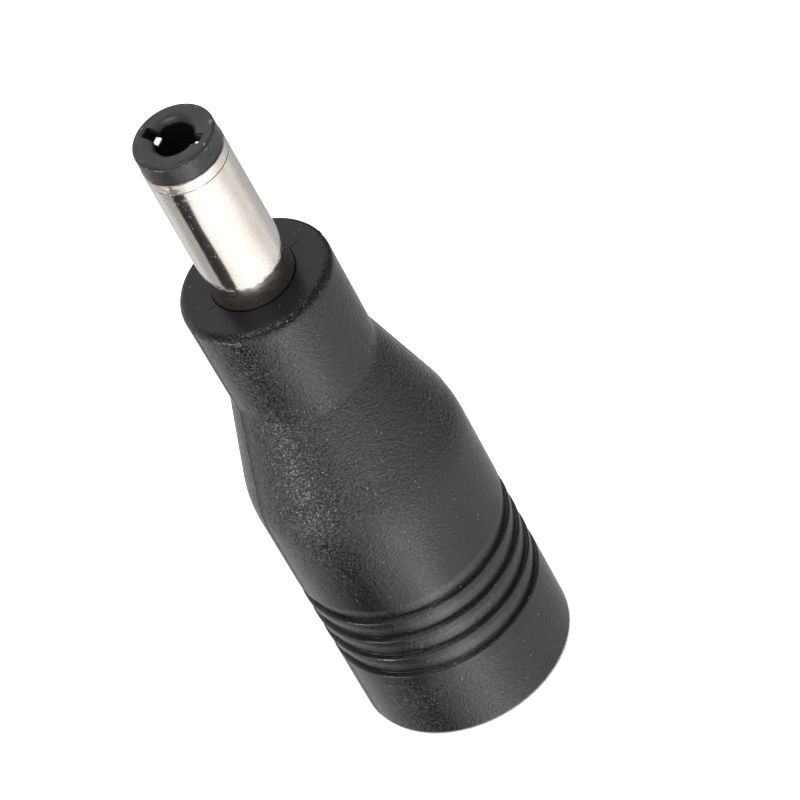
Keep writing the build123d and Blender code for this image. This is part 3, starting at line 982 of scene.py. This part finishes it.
sealed = {
    "inner_moulding": mottled("natural_polyethylene", grey(0.62, 0.04), grey(0.74, 0.06), 2.0, 0.45),
    "negative_insulation": mottled("black_insulation", grey(0.015), grey(0.03), 1.0, 0.4),
    "solder_joints": mottled("tin_solder", grey(0.55), grey(0.75), 0.5, 0.2, 1.0, 0.01),
}
sealed["barrel_terminal"] = mottled(
    "terminal_brass", (0.72, 0.52, 0.24, 1), (0.82, 0.64, 0.34, 1), 0.8, 0.25, metallic=1.0
)
sealed["rear_washer"] = mottled(
    "washer_fibre", (0.20, 0.06, 0.04, 1), (0.32, 0.12, 0.08, 1), 0.3, 0.6, depth_mm=0.01
)
sealed["positive_insulation"] = mottled(
    "red_insulation", (0.42, 0.02, 0.015, 1), (0.60, 0.04, 0.03, 1), 1.0, 0.4
)
sealed["negative_conductor"] = mottled(
    "lead_copper", (0.75, 0.36, 0.22, 1), (0.88, 0.52, 0.36, 1), 0.5, 0.25, 1.0, 0.004, (1, 1, 0.2)
)
sealed["positive_conductor"] = sealed["negative_conductor"]
for node, finish in sealed.items():
    wear(finish, frame["nodes"][node])
print("finishes on", len(sealed), "sealed solids")

# %% [markdown]
# ## Camera
# The camera looks down on the standing plug at the photograph's angle and is rolled, so that the plug
# leans in the picture. A long lens keeps the sides nearly parallel, as they are there.

# %% Camera at the photograph's view
camera_azimuth = radians(-12.0)
camera_elevation = radians(42.93)
camera_roll = radians(-29.75)
camera_distance = 1000.0
axis_right = 4.20
axis_down = 15.44
focal_length = 722.5
back = Vector(
    (
        sin(camera_azimuth) * cos(camera_elevation),
        -cos(camera_azimuth) * cos(camera_elevation),
        sin(camera_elevation),
    )
)
level = Vector((cos(camera_azimuth), sin(camera_azimuth), 0))
upward = back.cross(level)
right = cos(camera_roll) * level + sin(camera_roll) * upward
top = cos(camera_roll) * upward - sin(camera_roll) * level
turn = Matrix((right, top, back)).transposed()
camera_data = bpy.data.cameras.new("camera")
camera_data.lens = focal_length
camera_data.sensor_width = 36.0
camera_data.clip_start = 0.05
camera = linked("camera", camera_data)
from_origin = turn @ Vector((axis_right, -axis_down, -camera_distance)) * -MM
camera.matrix_world = Matrix.Translation(from_origin) @ turn.to_4x4()
bpy.context.scene.camera = camera
print("camera at", [round(v, 3) for v in camera.location])

# %% [markdown]
# ## Floor and light
# A pale floor carries the adapter. Black plastic and bright metal show little but what they reflect,
# so the surround is painted as a studio is hung with cards: each panel covers a range of directions,
# with soft edges. A dark one low on the left draws the dark stripe down the sleeve and the rear, and a
# bright one just above it puts the grainy highlight on the flare, whose wall leans towards it. Two
# more, high on the left, light the blends of the nose and the tip.
# Reflections look past the floor into this surround, which keeps them the same on every height.


# %% Floor
paper = Finish("pale_paper")
paper_tone = paper.mixed(paper.noise(60.0, 2.0), grey(0.84), grey(0.87))
floor_half_width = 1500.0
floor_corners = np.array([[-1, -1, 0], [1, -1, 0], [1, 1, 0], [-1, 1, 0]]) * floor_half_width
floor = linked("floor", mesh_of("floor", floor_corners, np.arange(4)))
wear(paper.shade(Base_Color=paper_tone, Roughness=0.9), floor)
floor.visible_glossy = False
print("floor", 2 * floor_half_width, "mm wide")

# %% Surround
world = bpy.data.worlds.new("surround")
bpy.context.scene.world = world
sky = Tree(world, "Generated")


def towards(*direction):
    """How far the looked-at direction points along another one."""
    return sky.add("ShaderNodeVectorMath", {"operation": "DOT_PRODUCT"}, (sky.place, direction), "Value")


ahead = towards(sin(camera_azimuth), -cos(camera_azimuth), 0)
sideways = towards(cos(camera_azimuth), sin(camera_azimuth), 0)
azimuth = sideways.math("ARCTAN2", sideways, ahead) * (180 / pi)
elevation = towards(0, 0, 1).math("ARCSINE", towards(0, 0, 1)) * (180 / pi)

# Each near() of an angle takes a middle, a half width and a softness, in degrees.
below = 1 - elevation.above(2, 14)
deep = 1 - elevation.above(-33, -25)
nadir = 1 - elevation.above(-70, -58)
low = below - deep
front = (0.5 * near(azimuth, 0, 25, 50) + 1.5 * near(azimuth, -3, 5, 17)) * (1 - 0.35 * nadir)
glow = 0.05 + below * (0.25 + front)
glow = glow + deep * (0.46 - 0.32 * near(azimuth, -90, 15, 35) - 0.26 * near(azimuth, 130, 12, 30))
glow = glow + nadir * 0.65 * near(azimuth, -10, 60, 60)
glow = glow + low * (0.45 * near(azimuth, 5, 60, 30) + 0.35 * near(azimuth, -125, 25, 25))
glow = glow - low * 0.28 * (near(azimuth, 140, 40, 35) + near(azimuth, -180, 0, 25))
glow = glow - deep * 0.14 * (near(azimuth, 180, 25, 20) + near(azimuth, -180, 25, 20))
glow = glow + low * 0.2 * near(azimuth, 60, 35, 25)
bright_card = near(azimuth, -73, 8, 2) * near(elevation, -16, 7, 2)
dark_card = near(azimuth, -69, 16, 4) * near(elevation, -50, 16, 5)
back_wall = near(ahead, -0.75, 0.2, 0.3) * elevation.above(-5, 15)
blend_card = near(azimuth, -35, 30, 10) * near(elevation, 68, 6, 4)
face_card = near(azimuth, -35, 20, 25) * near(elevation, 38, 20, 12)
glow = (glow + 10.5 * bright_card) * (1 - 0.92 * dark_card)
glow = glow + 0.6 * back_wall + 4.5 * blend_card + 0.25 * face_card
background = sky.add("ShaderNodeBackground", {}, {"Color": (1.01, 0.99, 1.03, 1.0), "Strength": glow})
sky.add("ShaderNodeOutputWorld", {}, {"Surface": background})
print("surround has", len(sky.tree.nodes), "nodes")


# %% Lamps
def softbox(name, azimuth, elevation, distance, side, power):
    """A square lamp that faces the adapter's middle, turned from the camera's side and raised by angles."""
    lamp = bpy.data.lights.new(name, "AREA")
    lamp.size = side * MM
    lamp.energy = power
    made = linked(name, lamp)
    turn_angle = radians(azimuth) + camera_azimuth - pi / 2
    up_angle = radians(elevation)
    aim = Vector((cos(turn_angle) * cos(up_angle), sin(turn_angle) * cos(up_angle), sin(up_angle)))
    middle = Vector((0, 0, tip_height / 2 * MM))
    made.location = middle + aim * distance * MM
    made.rotation_mode = "QUATERNION"
    made.rotation_quaternion = aim.to_track_quat("Z", "Y")
    made.visible_glossy = False


softbox("key_left", azimuth=-60, elevation=50, distance=420, side=500, power=3.4)
softbox("fill_right", azimuth=60, elevation=55, distance=450, side=500, power=3.0)
softbox("fill_back", azimuth=180, elevation=60, distance=450, side=500, power=2.0)
bpy.context.scene.view_settings.view_transform = "Standard"
print("lamps:", len(bpy.data.lights))
